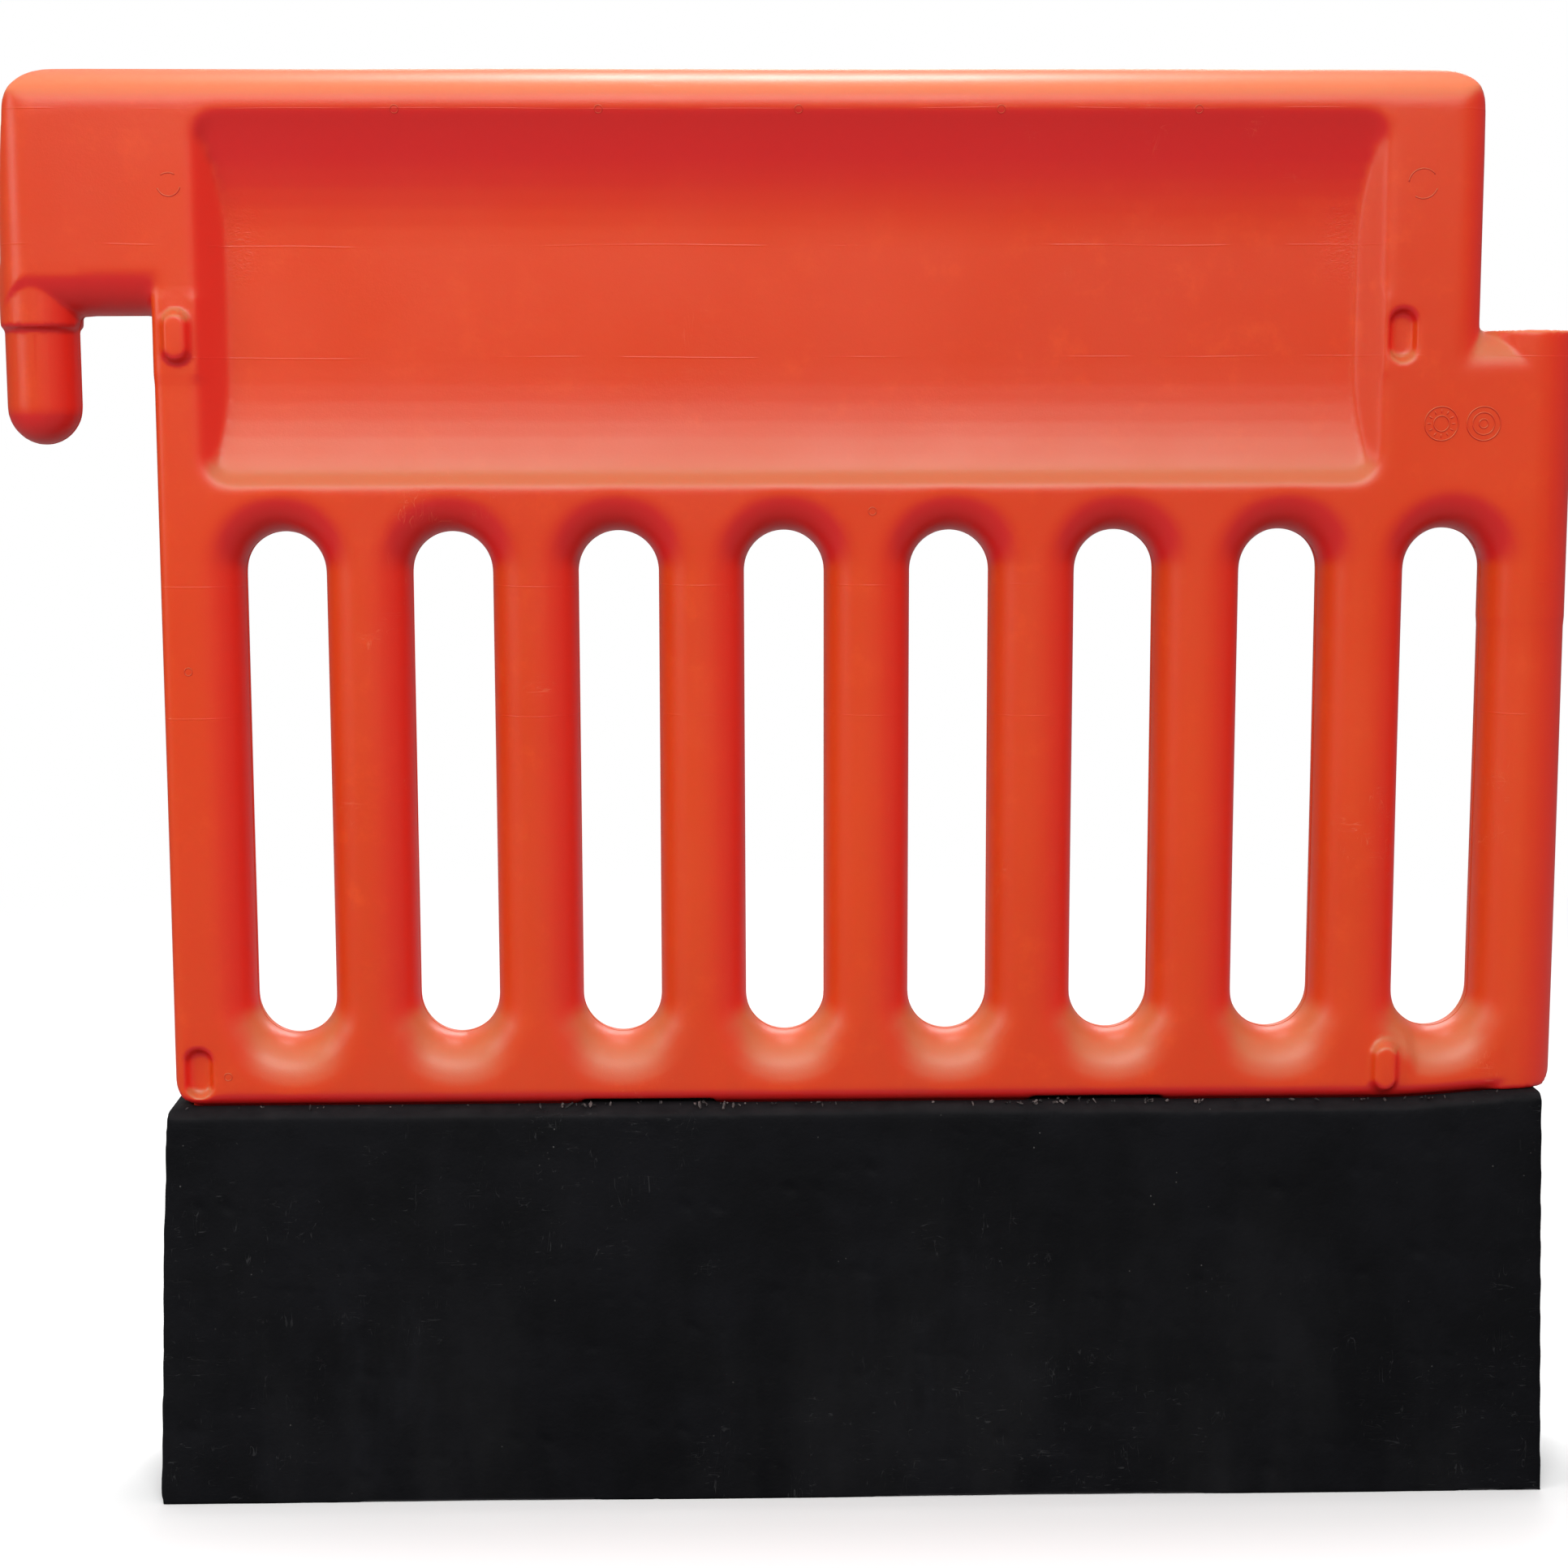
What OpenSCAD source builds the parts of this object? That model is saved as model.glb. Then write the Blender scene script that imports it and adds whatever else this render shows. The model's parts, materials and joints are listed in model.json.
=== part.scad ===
// Interlocking pedestrian barricade: a hollow blow-moulded panel that stands in a moulded
// rubber ballast base. A peg at one end drops into the socket of the next barricade.
// +X runs from the peg to the socket, -Y is the front, +Z is up, and the ground is z = 0.

/* [Overall] */
// Distance from the peg axis to the socket axis, the length of one barricade in a run
pitch = 1000; // [980:5:1040]
// Height of the top of the hand rail above the ground
rail_top = 966; // [956:1:980]
// Thickness of the panel, front to back
panel_t = 64; // [62:0.5:68]
// Wall thickness of the blow-moulded panel
wall = 4; // [3:0.25:4.5]

/* [Panel body] */
// Distance from the peg axis to the left edge of the panel body
body_inset = 78; // [74:1:82]
// Height of the lower edge of the panel, which rests on the base
body_z = 268.5; // [264:0.5:272]
// Rounding of the body's upright edges
body_edge_r = 8; // [6:0.5:10]
// Rounding of the body's lower left corner, seen from the front
body_corner_r = 20; // [12:1:22]
// Rounding of the lower end of the socket column, seen from the front
column_corner_r = 14; // [12:1:30]
// Length of each notch in the lower edge of the panel
notch_len = 91; // [80:1:100]
// Height of each notch
notch_h = 3; // [2:0.5:3]

/* [Hand rail] */
// Distance from the socket axis back to the end of the rail
rail_end_inset = 35; // [34:1:40]
// Rounding of the rail's long top edges
rail_edge_r = 28; // [24:1:30]
// Rounding of the rail's top corners, seen from the front
rail_corner_r = 30; // [24:1:34]
// Lean of the arm's end face, below its rounded top corner
arm_lean = 7; // [4:1:9]
// Height of the underside of the arm
arm_z = 804.5; // [802:0.5:810]

/* [Peg and socket] */
// Radius of the peg
peg_r = 24.5; // [23.5:0.25:25]
// Height of the lowest point of the peg
peg_tip_z = 719.5; // [706:0.5:724]
// Half of the collar's length along the barricade; it backs the peg up under the arm
collar_r = 26; // [25.75:0.25:27]
// Half of the collar's thickness, front to back
collar_half_t = 29.5; // [28.5:0.25:30]
// Height of the lower edge of the collar
collar_z = 796.5; // [794:0.5:798]
// Radius of the socket's bore
socket_r = 28; // [26.5:0.5:28.5]
// Height of the socket's rim
socket_rim_z = 793.5; // [790:0.5:796]
// Depth of the socket
socket_depth = 148; // [110:2:160]

/* [Slots] */
// Number of upright slots
slot_count = 8; // [7:1:8]
// Distance between the slots' centre lines
slot_pitch = 112.5; // [110:0.5:113]
// Width of a slot at its narrowest
slot_w = 55; // [50:1:56]
// Height of the lowest point of a slot
slot_z0 = 313; // [310:0.5:320]
// Height of the highest point of a slot
slot_z1 = 661; // [646:0.5:662]
// Radius of the rounding that makes each bar between two slots a round tube
slot_flare_r = 28; // [26:0.5:28]

/* [Display recess] */
// Distance from the peg axis to the left rim of the recess
recess_x0 = 108; // [104:1:116]
// Length of the recess at its rim
recess_len = 790; // [780:1:796]
// Height of the recess's lower rim
recess_z0 = 692; // [692:0.5:698]
// Height of the recess's upper rim
recess_z1 = 936; // [930:0.5:936]
// Depth of the recess's flat floor
recess_depth = 18; // [12:1:20]
// Radius of the coves above and below the flat floor
cove_r = 230; // [200:5:260]

/* [Ballast base] */
// Length of the base at the ground
base_len = 952; // [940:1:956]
// Width of the base at the ground
base_w = 140; // [130:1:170]
// Width of the base just under the bevel of its top edges
base_top_w = 80; // [78:1:100]
// Bevel of the base's long top edges
base_bevel = 6; // [4:0.5:6]
// How far the left end leans in between the ground and the top
base_end_draft = 5; // [0:1:8]
// Depth of the counterbores in the underside, which hide the bolt heads
counterbore_depth = 165; // [140:1:170]
// Radius of the counterbores
counterbore_r = 20; // [19:0.5:24]

/* [Fixings] */
// Nominal thread diameter of the fixing bolts
bolt_d = 10; // [8:1:10]

/* [Hidden] */
$fn = 64;
eps = 0.01;
half_t = panel_t / 2;

// Places along the barricade, measured from the middle of its overall length.
peg_x = (collar_r - pitch - half_t) / 2;
socket_x = peg_x + pitch;
body_x = peg_x + body_inset;
rail_x1 = socket_x - rail_end_inset;
slots_mid_x = peg_x + 553;
slots_x0 = slots_mid_x - (slot_count - 1) * slot_pitch / 2;
rail_plan_r = 20;
arm_end_r = 24;
bottom_edge_r = 10;

// The display recess: how far its flat floor stops short of the lower and upper edges.
low_cove = 79;
high_cove = 87;
recess_corner_r = 20;

// Chamfer under the collar: how far in, and how far up.
collar_chamfer = [1.5, 3];

// Oval studs and dimples that key stacked panels together.
key_x = [peg_x + 95, peg_x + 909.5];
key_z = [body_z + 23, 790];
key_half_w = 10.5;
key_half_h = 18.5;
key_reach = 7;
key_taper = 4;

// Skirt tongues that drop into the base, with a rubber web between each two.
web_half = notch_len / 2;
web_x = [peg_x + 402, peg_x + 712];
tongue_half_t = 22;
tongue_drop = 67;
tongue_gap = 0.5;
tongue_z = body_z - tongue_drop;
tongues = [
    [body_x + 10, web_x[0] - web_half],
    [web_x[0] + web_half, web_x[1] - web_half],
    [web_x[1] + web_half, socket_x + 6],
];

base_x0 = peg_x + 67;
base_x1 = base_x0 + base_len;

// Two bolts stand under each tongue, at a quarter of its length from either end.
bolt_r = bolt_d / 2;
bolt_x = [for (t = tongues, q = [0.25, 0.75]) t[0] + q * (t[1] - t[0])];
washer_r = 17;
washer_t = 2.5;
head_r = 0.93 * bolt_d;
head_h = 0.64 * bolt_d;
sleeve_r = bolt_r + 2.5;
insert_r = bolt_r + 3;
insert_h = 14;
insert_flange_r = insert_r + 2;
boss_r = insert_r + 5;
thread_gap = 0.05;
washer_z = counterbore_depth - washer_t;

// ---- Helpers ----

module along_x(x0, x1) { translate([x0, 0, 0]) rotate([90, 0, 90]) linear_extrude(x1 - x0) children(); }

module along_y(t) { rotate([90, 0, 0]) linear_extrude(t, center = true) children(); }

module along_z(z0, z1) { translate([0, 0, z0]) linear_extrude(z1 - z0) children(); }

module at(x, z) { translate([x, 0, z]) children(); }

// Rectangle from lo to hi, with its own rounding at each corner, anticlockwise from lo.
module round_rect(lo, hi, r) {
    corners = [[lo.x, lo.y, 1, 1], [hi.x, lo.y, -1, 1], [hi.x, hi.y, -1, -1], [lo.x, hi.y, 1, -1]];
    difference() {
        translate(lo) square(hi - lo);
        for (i = [0:3]) if (r[i] > 0) {
            c = corners[i];
            translate([c[0], c[1]]) difference() {
                translate([c[2] < 0 ? -r[i] : -1, c[3] < 0 ? -r[i] : -1]) square(r[i] + 1);
                translate([c[2] * r[i], c[3] * r[i]]) circle(r[i]);
            }
        }
    }
}

// ---- Panel ----
// Every panel module takes an inset: 0 draws the outer skin and wall draws the cavity.

module body_block(inset) {
    y = half_t - inset;
    z = body_z + (inset > 0 ? inset + notch_h : 0);
    edge = body_edge_r - inset / 2;
    low = bottom_edge_r - inset / 2;
    top = rail_edge_r - inset;
    intersection() {
        along_z(z, socket_rim_z - inset) {
            round_rect([body_x + inset, -y], [socket_x, y], [edge, 0, 0, edge]);
            translate([socket_x, 0]) circle(y);
        }
        along_x(body_x, socket_x + half_t)
            round_rect([-y, z], [y, socket_rim_z - inset], [low, low, top, top]);
        along_y(panel_t)
            round_rect([body_x + inset, z], [socket_x + y, socket_rim_z - inset],
                [body_corner_r - inset, column_corner_r - inset, 0, 0]);
    }
}

// Socket column, whose rim stands square above the rounded shoulder beside it.
module socket_column(inset) {
    r = half_t - inset;
    z0 = body_z + inset;
    z1 = socket_rim_z - inset;
    intersection() {
        at(socket_x, z0) cylinder(r = r, h = z1 - z0);
        along_y(panel_t)
            round_rect([socket_x - half_t, z0], [socket_x + r, z1], [0, column_corner_r - inset, 2, 0]);
    }
}

// Web between the body and the rail, where both faces run on flat.
module shoulder(inset) {
    y = half_t - inset;
    edge = body_edge_r - inset / 2;
    far = rail_plan_r - inset;
    along_z(socket_rim_z - 2 * half_t, rail_top - 2 * half_t)
        round_rect([body_x + inset, -y], [rail_x1 - inset, y], [edge, far, far, edge]);
}

// Hand rail, and the arm that carries it out over the peg.
module rail(inset) {
    y = half_t - inset;
    x0 = peg_x - arm_end_r + inset;
    x1 = rail_x1 - inset;
    z0 = arm_z + inset;
    z1 = rail_top - inset;
    end = arm_end_r - inset;
    under = half_t - 1 - inset;
    top = rail_edge_r - inset;
    corner = rail_corner_r - inset;
    far = rail_plan_r - inset;
    intersection() {
        along_z(z0, z1) round_rect([x0, -y], [x1, y], [end, far, far, end]);
        along_x(x0, x1) round_rect([-y, z0], [y, z1], [under, under, top, top]);
        along_y(panel_t) difference() {
            round_rect([x0, z0], [x1, z1], [8, 0, corner, 0]);
            // The leaning end face and its rounded top corner.
            lean = atan(arm_lean / (z1 - corner - z0 - half_t));
            translate([x0, z0 + half_t]) rotate(-lean) translate([-50, 0]) square([50, 200]);
            translate([x0 + arm_lean, z1]) difference() {
                translate([-10, -corner]) square(corner + 10 - eps);
                translate([corner, -corner]) circle(corner);
            }
        }
    }
}

// Collar and peg: an oval collar under the arm, and an upright round peg that ends in a dome.
module peg(inset) {
    r = peg_r - inset;
    dome_z = peg_tip_z + peg_r;
    half_x = collar_r - inset;
    half_y = collar_half_t - inset;
    corner = half_x - 1;
    cut = collar_chamfer;
    z0 = collar_z + inset;
    z1 = arm_z + half_t;
    at(peg_x, dome_z) {
        sphere(r);
        cylinder(r = r, h = z1 - dome_z);
    }
    at(peg_x, 0) intersection() {
        along_z(z0, z1) round_rect([-half_x, -half_y], [half_x, half_y], [for (i = [0:3]) corner]);
        along_y(panel_t) polygon([
            [cut.x - half_x, z0], [half_x - cut.x, z0], [half_x, z0 + cut.y],
            [half_x, z1], [-half_x, z1], [-half_x, z0 + cut.y],
        ]);
    }
}

module tongue_blocks(inset) {
    for (t = tongues)
        along_z(tongue_z + inset, body_z + bottom_edge_r + 2)
            round_rect([t[0] + inset, -tongue_half_t + inset], [t[1] - inset, tongue_half_t - inset],
                [for (i = [0:3]) 6 - inset / 2]);
}

// Section through a slot's flared side, from the slot's centre line out to the bar's face.
module slot_section(inset) {
    narrow = slot_w / 2;
    straight = half_t - slot_flare_r;
    difference() {
        translate([0, -half_t - 1]) square([narrow + slot_flare_r, panel_t + 2]);
        for (s = [-1, 1]) translate([narrow + slot_flare_r, s * straight]) circle(slot_flare_r - inset);
        translate([narrow + inset, -straight]) square([slot_flare_r + 1, 2 * straight]);
    }
}

module slot_cutter(inset) {
    z0 = slot_z0 + slot_w / 2;
    z1 = slot_z1 - slot_w / 2;
    along_z(z0, z1) for (m = [0, 1]) mirror([m, 0]) slot_section(inset);
    for (z = [z0, z1]) translate([0, 0, z]) rotate([90, 0, 0]) rotate_extrude() slot_section(inset);
}

module slots(inset) {
    for (i = [0:slot_count - 1]) translate([slots_x0 + i * slot_pitch, 0, 0]) slot_cutter(inset);
}

// Shallow tray for a display panel: a flat floor with a cove above and below it.
module recess_cutter(inset) {
    depth = recess_depth + inset;
    floor_y = -half_t + depth;
    x0 = peg_x + recess_x0 - inset;
    x1 = x0 + recess_len + 2 * inset;
    z0 = recess_z0 - inset;
    z1 = recess_z1 + inset;
    flat_z = [recess_z0 + low_cove, recess_z1 - high_cove];
    cove_y = recess_depth - half_t - cove_r;
    mouth_r = recess_corner_r + inset;
    intersection() {
        along_x(x0, x1) {
            for (z = flat_z) translate([cove_y, z]) circle(cove_r + inset, $fn = 180);
            translate([-half_t - 1, flat_z[0]]) square([depth + 1, flat_z[1] - flat_z[0]]);
        }
        // Drafted side walls with coned corners.
        union() {
            for (x = [x0 + mouth_r, x1 - mouth_r], z = [z0 + mouth_r, z1 - mouth_r])
                translate([x, -half_t, z]) rotate([-90, 0, 0])
                    cylinder(r1 = mouth_r, r2 = mouth_r - depth, h = depth);
            along_z(z0 + mouth_r, z1 - mouth_r)
                polygon([[x0, -half_t], [x1, -half_t], [x1 - depth, floor_y], [x0 + depth, floor_y]]);
            along_x(x0 + mouth_r, x1 - mouth_r)
                polygon([[-half_t, z0], [-half_t, z1], [floor_y, z1 - depth], [floor_y, z0 + depth]]);
        }
    }
}

module recesses(inset) { for (m = [0, 1]) mirror([0, m, 0]) recess_cutter(inset); }

// Oval key with sloping sides, pointing along -Y from y = 0.
module oval_key(grow) {
    w = key_half_w + grow;
    reach = key_reach + grow;
    straight = key_half_h - key_half_w;
    rotate([90, 0, 0]) for (z = [-straight, straight])
        translate([0, z, -1]) cylinder(r1 = w, r2 = w - key_taper, h = reach + 1);
    along_z(-straight, straight)
        polygon([[-w, 1], [w, 1], [w - key_taper, -reach], [key_taper - w, -reach]]);
}

// Front face: studs upper left and lower right, dimples in the other two places. The rear
// face has them the other way round, so that each dimple backs a stud.
module keys(raised, grow) {
    for (i = [0, 1], j = [0, 1]) {
        front_is_stud = i != j;
        toward_front = front_is_stud == raised;
        translate([key_x[i], 0, key_z[j]]) mirror([0, toward_front ? 0 : 1, 0])
            translate([0, -half_t, 0]) mirror([0, raised ? 0 : 1, 0]) oval_key(grow);
    }
}

module outer_form(inset) {
    difference() {
        union() {
            body_block(inset);
            socket_column(inset);
            shoulder(inset);
            rail(inset);
            peg(inset);
            tongue_blocks(inset);
        }
        slots(inset);
        recesses(inset);
    }
}

module barrier_panel() {
    color("orangered") difference() {
        union() {
            outer_form(0);
            keys(true, 0);
        }
        difference() {
            outer_form(wall);
            keys(false, wall);
            at(socket_x, socket_rim_z - socket_depth - wall)
                cylinder(r = half_t, h = socket_depth + 2 * wall);
            for (x = bolt_x) at(x, tongue_z) cylinder(r = boss_r, h = insert_h + wall);
        }
        keys(false, 0);
        at(socket_x, socket_rim_z - socket_depth) cylinder(r = socket_r, h = socket_depth + 1);
        for (x = web_x) at(x - web_half, body_z - 1) translate([0, -half_t - 1, 0])
            cube([notch_len, panel_t + 2, notch_h + 1]);
        for (x = bolt_x) at(x, tongue_z) insert_blank();
    }
}

// ---- Base ----

module ballast_base() {
    top = base_top_w / 2;
    color([0.07, 0.07, 0.08]) difference() {
        intersection() {
            along_x(base_x0, base_x1) polygon([
                [-base_w / 2, 0], [base_w / 2, 0], [top, body_z - base_bevel], [top - base_bevel, body_z],
                [base_bevel - top, body_z], [-top, body_z - base_bevel],
            ]);
            along_y(base_w) polygon([
                [base_x0, 0], [base_x1, 0], [base_x1, body_z], [base_x0 + base_end_draft, body_z],
            ]);
        }
        for (t = tongues) along_z(tongue_z, body_z + 1)
            round_rect([t[0] - tongue_gap, -tongue_half_t - tongue_gap],
                [t[1] + tongue_gap, tongue_half_t + tongue_gap], [for (i = [0:3]) 6]);
        for (x = bolt_x) at(x, -1) {
            cylinder(r = counterbore_r, h = counterbore_depth + 1);
            cylinder(r = sleeve_r, h = tongue_z + 2);
        }
    }
}

// ---- Fixings ----

module fixing_bolts() {
    color("silver") for (x = bolt_x) at(x, washer_z - head_h) {
        cylinder(r = head_r, h = head_h, $fn = 6);
        cylinder(r = bolt_r, h = tongue_z + insert_h - 1 - washer_z + head_h);
    }
}

module bolt_washers() {
    color("gainsboro") for (x = bolt_x) at(x, washer_z) difference() {
        cylinder(r = washer_r, h = washer_t);
        translate([0, 0, -1]) cylinder(r = bolt_r + 0.5, h = washer_t + 2);
    }
}

module compression_sleeves() {
    color("lightgray") for (x = bolt_x) at(x, counterbore_depth) difference() {
        cylinder(r = sleeve_r, h = tongue_z - counterbore_depth);
        translate([0, 0, -1]) cylinder(r = bolt_r + 0.5, h = tongue_z - counterbore_depth + 2);
    }
}

// Insert with a flange in the middle of its height, which the panel's plastic grips.
module insert_blank() {
    cylinder(r = insert_r, h = insert_h);
    translate([0, 0, insert_h / 2 - 2]) cylinder(r = insert_flange_r, h = 4);
}

module threaded_inserts() {
    color("goldenrod") for (x = bolt_x) at(x, tongue_z) difference() {
        insert_blank();
        translate([0, 0, -1]) cylinder(r = bolt_r + thread_gap, h = insert_h + 2);
    }
}

barrier_panel();
ballast_base();
fixing_bolts();
bolt_washers();
compression_sleeves();
threaded_inserts();
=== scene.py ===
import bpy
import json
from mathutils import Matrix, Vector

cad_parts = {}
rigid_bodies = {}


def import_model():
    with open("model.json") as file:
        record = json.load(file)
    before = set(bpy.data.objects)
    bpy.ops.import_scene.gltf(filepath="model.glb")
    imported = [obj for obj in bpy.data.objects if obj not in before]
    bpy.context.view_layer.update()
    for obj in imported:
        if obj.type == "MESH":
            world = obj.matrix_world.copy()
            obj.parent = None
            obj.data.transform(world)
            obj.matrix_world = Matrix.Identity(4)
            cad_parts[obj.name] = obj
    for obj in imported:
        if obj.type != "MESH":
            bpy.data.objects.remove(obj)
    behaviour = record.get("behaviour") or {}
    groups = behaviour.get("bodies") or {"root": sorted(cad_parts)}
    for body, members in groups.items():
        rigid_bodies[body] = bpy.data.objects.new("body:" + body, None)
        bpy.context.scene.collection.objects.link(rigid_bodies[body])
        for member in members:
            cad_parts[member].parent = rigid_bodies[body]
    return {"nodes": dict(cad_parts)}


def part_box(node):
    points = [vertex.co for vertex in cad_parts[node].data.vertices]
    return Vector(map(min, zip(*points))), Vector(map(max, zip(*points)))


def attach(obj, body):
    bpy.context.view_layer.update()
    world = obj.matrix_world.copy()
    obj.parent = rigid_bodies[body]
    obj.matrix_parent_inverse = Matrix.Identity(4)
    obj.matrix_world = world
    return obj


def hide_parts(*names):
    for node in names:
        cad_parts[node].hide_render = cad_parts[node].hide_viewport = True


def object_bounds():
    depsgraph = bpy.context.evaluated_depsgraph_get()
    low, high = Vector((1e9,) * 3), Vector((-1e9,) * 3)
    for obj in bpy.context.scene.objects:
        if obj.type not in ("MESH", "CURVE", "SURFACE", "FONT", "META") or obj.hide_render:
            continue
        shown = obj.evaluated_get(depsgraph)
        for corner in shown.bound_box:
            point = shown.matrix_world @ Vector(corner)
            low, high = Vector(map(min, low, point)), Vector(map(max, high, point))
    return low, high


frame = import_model()
cad_box = [list(corner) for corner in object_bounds()]

import json
import math
import random

import bmesh
import bpy
import numpy as np
from mathutils import Matrix, Vector
from mathutils.bvhtree import BVHTree

# ---------------------------------------------------------------- panel shell
# The panel is one hollow shell of high-density polyethylene, blow-moulded in a two-part
# mould that closes on the plane y = 0. The hot plastic is blown out against the mould, so
# every outside edge is soft, inside corners are filled, and the faces are never dead flat.

BODY = "root"
MM = 0.001
panel_lo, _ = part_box("barrier_panel")
base_lo, base_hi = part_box("ballast_base")
seam_z = base_hi.z


def deselect_all():
    bpy.ops.object.select_all(action="DESELECT")


def make_active(piece):
    deselect_all()
    piece.select_set(True)
    bpy.context.view_layer.objects.active = piece


def copy_of_node(node, name):
    """A merged copy of a CAD node's mesh, as a new object at the origin."""
    piece = bpy.data.objects.new(name, frame["nodes"][node].data.copy())
    bpy.context.scene.collection.objects.link(piece)
    make_active(piece)
    bpy.ops.object.mode_set(mode="EDIT")
    bpy.ops.mesh.select_all(action="SELECT")
    bpy.ops.mesh.remove_doubles(threshold=0.01 * MM)
    bpy.ops.object.mode_set(mode="OBJECT")
    return piece


def add_modifier(piece, kind, **settings):
    """Adds one modifier and applies it straight away."""
    make_active(piece)
    modifier = piece.modifiers.new(kind.title(), kind)
    for name, value in settings.items():
        setattr(modifier, name, value)
    bpy.ops.object.modifier_apply(modifier=modifier.name)


def vertex_places(piece):
    places = np.empty(len(piece.data.vertices) * 3, np.float32)
    piece.data.vertices.foreach_get("co", places)
    return places.reshape(-1, 3)


def vertex_normals(piece):
    normals = np.empty(len(piece.data.vertices) * 3, np.float32)
    piece.data.vertex_normals.foreach_get("vector", normals)
    return normals.reshape(-1, 3)


def set_vertex_places(piece, places):
    piece.data.vertices.foreach_set("co", places.astype(np.float32).ravel())
    piece.data.update()


def keep_only_outside(piece):
    """Deletes every shell that isn't joined to the highest vertex: the sealed cavity."""
    make_active(piece)
    bpy.ops.object.mode_set(mode="EDIT")
    bpy.ops.mesh.select_all(action="DESELECT")
    mesh = bmesh.from_edit_mesh(piece.data)
    max(mesh.verts, key=lambda v: v.co.z).select = True
    bmesh.update_edit_mesh(piece.data)
    bpy.ops.mesh.select_linked()
    bpy.ops.mesh.select_all(action="INVERT")
    bpy.ops.mesh.delete(type="VERT")
    bpy.ops.object.mode_set(mode="OBJECT")


def weight_group(piece, name, weights):
    group = piece.vertex_groups.new(name=name)
    levels = np.round(weights * 20).astype(int)
    for level in range(1, 21):
        group.add(np.flatnonzero(levels == level).tolist(), level / 20, "REPLACE")
    return name


def soften(piece, name, weights, repeats):
    """Smooths the surface, as far as each vertex's weight lets it move."""
    weight_group(piece, name, weights)
    add_modifier(piece, "SMOOTH", factor=0.5, iterations=repeats, vertex_group=name)
    piece.vertex_groups.clear()


def near_box(places, lo, hi, fade):
    """1 inside a box and 0 beyond the fade distance round it."""
    outside = np.maximum(np.maximum(np.array(lo) - places, places - np.array(hi)), 0)
    return np.clip(1 - np.linalg.norm(outside, axis=1) / fade, 0, 1)


def waves(places, seed, longest, shortest):
    """A smooth random field between about -1 and 1, the sum of long crossing waves."""
    draw = random.Random(seed)
    total = np.zeros(len(places))
    for _ in range(7):
        heading = np.array([draw.gauss(0, 1) for _ in range(3)])
        heading *= 2 * math.pi / (np.linalg.norm(heading) * draw.uniform(shortest, longest))
        total += np.sin(places @ heading + draw.uniform(0, 2 * math.pi))
    return total / 4


panel = copy_of_node("barrier_panel", "panel_shell")
keep_only_outside(panel)
add_modifier(panel, "REMESH", mode="VOXEL", voxel_size=1.9 * MM, use_smooth_shade=True)

peg_x, socket_x = -503 * MM, 497 * MM
recess_lo, recess_hi = (-395 * MM, 692 * MM), (395 * MM, 936 * MM)
places = vertex_places(panel)
x, y, z = places.T
fine_detail = np.zeros(len(places))
for key_x in (-408 * MM, 406.5 * MM):
    for key_z in (291.5 * MM, 790 * MM):
        fine_detail = np.maximum(fine_detail, near_box(
            places, (key_x - 0.016, -1, key_z - 0.024), (key_x + 0.016, 1, key_z + 0.024), 0.008))
for lo, hi in (
    ((peg_x - 0.03, -1, 0.70), (peg_x + 0.03, 1, 0.829)),
    ((socket_x - 0.03, -0.03, 0.60), (socket_x + 0.04, 0.03, 0.80)),
    ((-1, -0.028, 0), (1, 0.028, seam_z)),
):
    fine_detail = np.maximum(fine_detail, near_box(places, lo, hi, 0.006))
soften(panel, "all_edges", 1 - 0.85 * fine_detail, 8)

# The mould's recess rims are the softest edges, with the shoulder beside the socket next.
rim_x = np.maximum(recess_lo[0] - x, x - recess_hi[0])
rim_z = np.maximum(recess_lo[1] - z, z - recess_hi[1])
from_rim = np.where((rim_x > 0) & (rim_z > 0), np.hypot(rim_x, rim_z), np.maximum(rim_x, rim_z))
rim_weight = np.clip(1.6 - np.abs(from_rim + 0.003) / 0.009, 0, 1) * (np.abs(y) > 0.022)
soft_places = [
    ((0.445, -1, 0.752), (0.485, 1, 0.79), 0.016),
    ((-0.45, -1, 0.79), (-0.415, 1, 0.82), 0.012),
    ((0.435, -1, 0.93), (0.47, 1, 0.97), 0.02),
    ((-0.53, -1, 0.93), (-0.49, 1, 0.97), 0.02),
    ((-0.43, -1, 0.26), (-0.40, 1, 0.275), 0.012),
]
softest = rim_weight
for lo, hi, fade in soft_places:
    softest = np.maximum(softest, near_box(places, lo, hi, fade))
soften(panel, "soft_rims", softest * (1 - fine_detail), 30)

# The lip under each slot is drawn out wider than its sides, into a soft saucer.
LIP_R, FLARE_R, LIP_STRETCH = 27.5 * MM, 28 * MM, 0.26


def flare_depth(out):
    """How far the flare stands from the middle plane, at a distance out from the slot's rim."""
    return np.sqrt(np.clip(FLARE_R ** 2 - (FLARE_R - np.clip(out, 0, FLARE_R)) ** 2, 0, None))


places = vertex_places(panel)
for slot in range(8):
    across = places[:, 0] - (-343.75 + 112.5 * slot) * MM
    below = 340.5 * MM - places[:, 2]
    reach = np.hypot(across, below)
    out = reach - LIP_R
    straight_down = np.clip((below / np.maximum(reach, MM) - 0.45) / 0.5, 0, 1)
    straight_down = straight_down ** 2 * (3 - 2 * straight_down)
    on_flare = (out > 0) & (out < 0.042) & (below > 0) & (np.abs(places[:, 1]) > 4.5 * MM)
    drawn = flare_depth(out) - flare_depth(out * (1 - LIP_STRETCH * straight_down))
    places[:, 1] -= np.sign(places[:, 1]) * drawn * on_flare * (1 - fine_detail)
set_vertex_places(panel, places)
held = np.maximum(fine_detail, near_box(places, (-1, -1, 0), (1, 1, seam_z + 0.004), 0.02))
bulge = 0.35 * MM * waves(places, 5, 0.42, 0.16) * (1 - held)
places += vertex_normals(panel) * bulge[:, None]
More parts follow.
